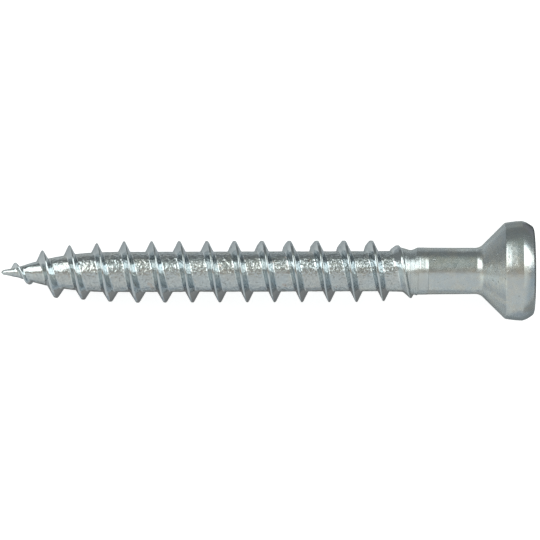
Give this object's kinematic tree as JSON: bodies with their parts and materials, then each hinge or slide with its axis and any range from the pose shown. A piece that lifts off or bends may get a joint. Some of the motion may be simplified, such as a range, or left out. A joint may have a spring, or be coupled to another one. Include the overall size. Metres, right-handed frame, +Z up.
{
  "type": "frame adjustment screw",
  "caption": "Zinc-plated steel wood screw with a coarse tapered thread, a short plain neck, a deep countersunk head with a flared rim, and a lobed drive recess.",
  "frame": {"origin": "on the resting surface, below the middle of the bounding box", "axes": "+X along the screw from point to head, +Z up from the resting surface, +Y across; the screw's own axis lies in the XZ plane and rises by 2.69 degrees towards the head"},
  "size_m": [0.0602, 0.0112, 0.0113],
  "materials": {
    "zinc_plated_steel": "bright zinc plating over rolled and cold-headed steel, slightly mottled"
  },
  "bodies": {
    "root": {"frame_screw": "zinc_plated_steel"}
  },
  "joints": []
}
